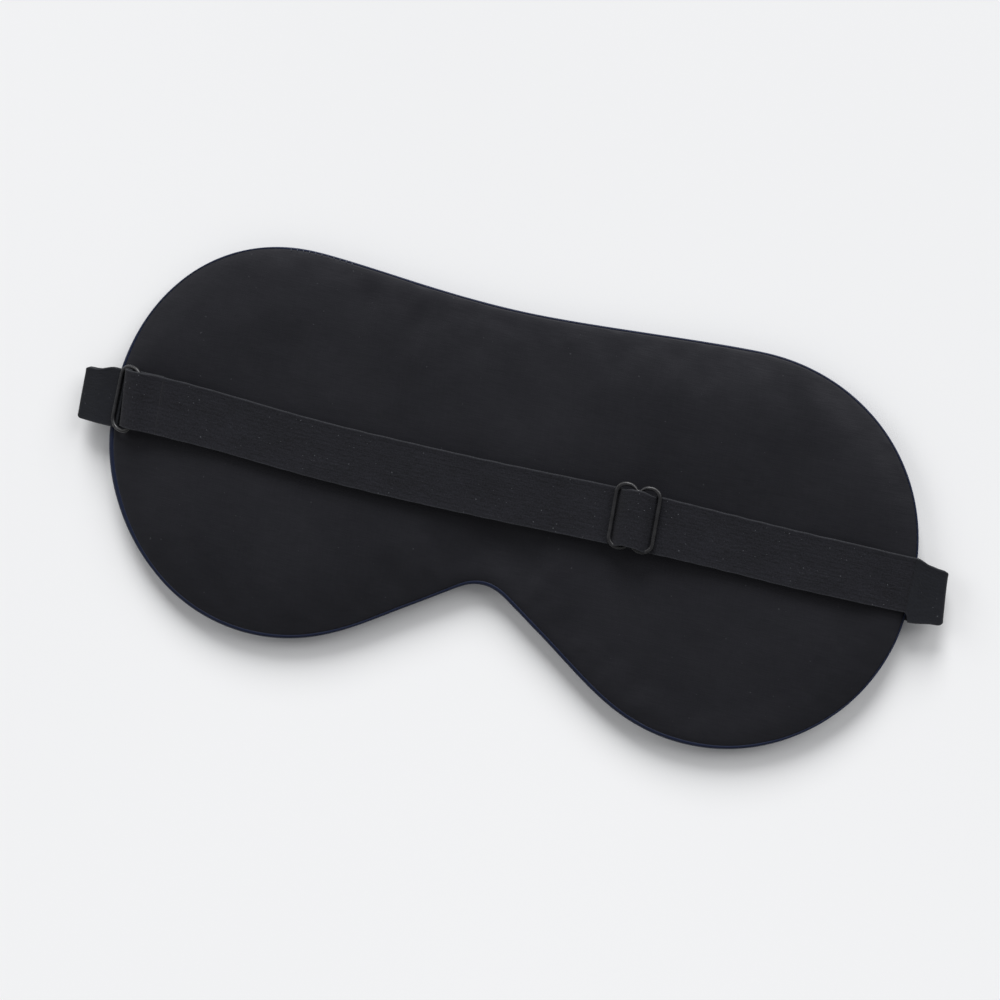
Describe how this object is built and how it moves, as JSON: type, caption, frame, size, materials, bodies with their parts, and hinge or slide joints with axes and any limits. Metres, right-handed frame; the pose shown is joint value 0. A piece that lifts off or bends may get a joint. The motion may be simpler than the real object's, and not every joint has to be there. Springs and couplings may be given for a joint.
{
  "type": "sleep eye mask",
  "caption": "Padded satin sleep mask with a nose notch and an elastic head strap adjusted by a slider and a ring.",
  "frame": {"origin": "under the middle of the mask, on the surface that the front panel lies on", "axes": "+X along the mask's width, +Y towards the forehead edge, +Z out of the back panel, through the strap"},
  "size_m": [0.2356, 0.1032, 0.0138],
  "materials": {
    "navy_satin": "satin weave, navy",
    "black_satin": "satin weave, black",
    "padding_foam": "soft open-cell foam sheet",
    "lining_fabric": "matt blackout lining",
    "elastic": "woven elastic, black, fine ribs",
    "thread": "sewing thread",
    "coated_metal": "black nylon coating"
  },
  "bodies": {
    "mask": {"front_panel": "navy_satin", "back_panel": "black_satin", "padding": "padding_foam", "blackout_lining": "lining_fabric", "upper_seam_thread": "thread", "lower_seam_thread": "thread", "turning_gap_thread": "thread", "left_seam_tack": "thread", "right_seam_tack": "thread", "left_tab": "elastic", "left_tab_stitch": "thread", "strap_seam_end": "elastic"},
    "ring": {"ring": "coated_metal", "strap_ring_loop": "elastic"},
    "strap": {"strap_centre_run": "elastic", "strap_left_run": "elastic", "strap_under_left_run": "elastic", "strap_under_centre_run": "elastic", "strap_right_run": "elastic"},
    "slider": {"slider": "coated_metal", "strap_slider_pass": "elastic", "strap_end_loop": "elastic"}
  },
  "joints": [
    {"name": "strap_lift", "type": "slide", "parent": "mask", "child": "strap", "axis": [0, 0, 1], "range_m": [0, 0.05], "stiffness_N_per_m": 25, "deforming": ["strap_left_run", "strap_under_left_run", "strap_right_run"]},
    {"name": "slider_slide", "type": "slide", "parent": "strap", "child": "slider", "axis": [1, 0, 0], "range_m": [-0.045, 0.02], "deforming": ["strap_under_centre_run", "strap_right_run", "strap_slider_pass", "strap_end_loop"]},
    {"name": "ring_tilt", "type": "hinge", "parent": "mask", "child": "ring", "pos_m": [-0.1076, 0.0037, 0.00765], "axis": [0, -1, 0], "range_deg": [0, 35], "deforming": ["strap_ring_loop"]}
  ]
}
